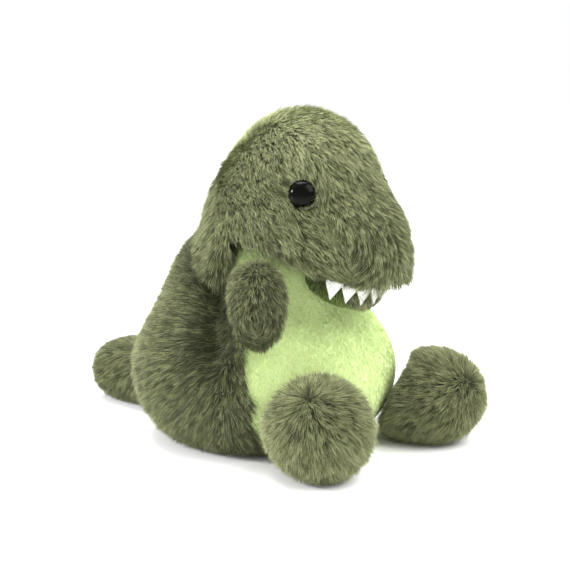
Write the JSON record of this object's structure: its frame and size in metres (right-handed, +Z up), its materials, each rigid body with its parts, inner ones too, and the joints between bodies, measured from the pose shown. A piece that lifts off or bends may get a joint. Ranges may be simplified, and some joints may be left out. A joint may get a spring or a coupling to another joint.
{
  "type": "stuffed dinosaur",
  "caption": "Palm-size sitting plush dinosaur with a big head, felt teeth, small arms, round feet and a stub tail, weighted with beans so that it sits up.",
  "frame": {"origin": "middle of the flat seat panel under the toy, on the surface it sits on", "axes": "+Z up, -Y the way the toy faces, -X its right side"},
  "size_m": [0.1034, 0.1616, 0.1171],
  "materials": {
    "fur_olive": "long pile plush, matt with a soft sheen",
    "fur_olive_head": "long pile plush, matt with a soft sheen",
    "belly_plush": "short pile plush, matt",
    "felt_white": "pressed felt, matt",
    "eye_black": "polished moulded plastic",
    "mouth_lining": "short pile plush, matt",
    "polyester_fill": "loose polyester fibre",
    "pouch_cloth": "thin woven cloth",
    "bean_pellets": "plastic pellets",
    "washer_plastic": "moulded plastic"
  },
  "bodies": {
    "torso": {"body_side_right": "fur_olive", "body_side_left": "fur_olive", "belly_panel": "belly_plush", "seat_panel": "fur_olive", "body_fill": "polyester_fill", "bean_pouch": "pouch_cloth", "beans": "bean_pellets"},
    "head": {"head_side_right": "fur_olive_head", "head_side_left": "fur_olive_head", "head_gusset": "fur_olive_head", "mouth_roof": "mouth_lining", "head_fill": "polyester_fill", "eye_right": "eye_black", "eye_left": "eye_black", "eye_washer_right": "washer_plastic", "eye_washer_left": "washer_plastic", "teeth_strip": "felt_white"},
    "jaw": {"jaw_cover": "fur_olive_head", "jaw_lining": "mouth_lining", "jaw_fill": "polyester_fill"},
    "arm_right": {"arm_right_outer": "fur_olive", "arm_right_inner": "fur_olive", "arm_right_fill": "polyester_fill"},
    "arm_left": {"arm_left_outer": "fur_olive", "arm_left_inner": "fur_olive", "arm_left_fill": "polyester_fill"},
    "leg_right": {"leg_right_outer": "fur_olive", "leg_right_inner": "fur_olive", "leg_right_fill": "polyester_fill"},
    "leg_left": {"leg_left_outer": "fur_olive", "leg_left_inner": "fur_olive", "leg_left_fill": "polyester_fill"},
    "tail": {"tail_right": "fur_olive", "tail_left": "fur_olive", "tail_fill": "polyester_fill"}
  },
  "joints": [
    {"name": "head_nod", "type": "hinge", "parent": "torso", "child": "head", "pos_m": [0, -0.004, 0.07], "axis": [1, 0, 0], "range_deg": [-12, 0]},
    {"name": "jaw_close", "type": "hinge", "parent": "head", "child": "jaw", "pos_m": [0, -0.024, 0.064], "axis": [1, 0, 0], "range_deg": [-5, 0]},
    {"name": "arm_right_lift", "type": "hinge", "parent": "torso", "child": "arm_right", "pos_m": [-0.028, -0.019, 0.062], "axis": [-0.6691, 0.7431, 0], "range_deg": [0, 10]},
    {"name": "arm_left_lift", "type": "hinge", "parent": "torso", "child": "arm_left", "pos_m": [0.03085, 0.00359, 0.062], "axis": [0, -1, 0], "range_deg": [0, 10]},
    {"name": "leg_right_lift", "type": "hinge", "parent": "torso", "child": "leg_right", "pos_m": [-0.0245, -0.041, 0.016], "axis": [-0.866, 0.5, 0], "range_deg": [0, 20]},
    {"name": "leg_left_lift", "type": "hinge", "parent": "torso", "child": "leg_left", "pos_m": [0.0245, -0.041, 0.016], "axis": [-0.866, -0.5, 0], "range_deg": [0, 20]},
    {"name": "tail_swing", "type": "hinge", "parent": "torso", "child": "tail", "pos_m": [-0.001, 0.047, 0.014], "axis": [0, 0, 1], "range_deg": [-15, 15]}
  ]
}
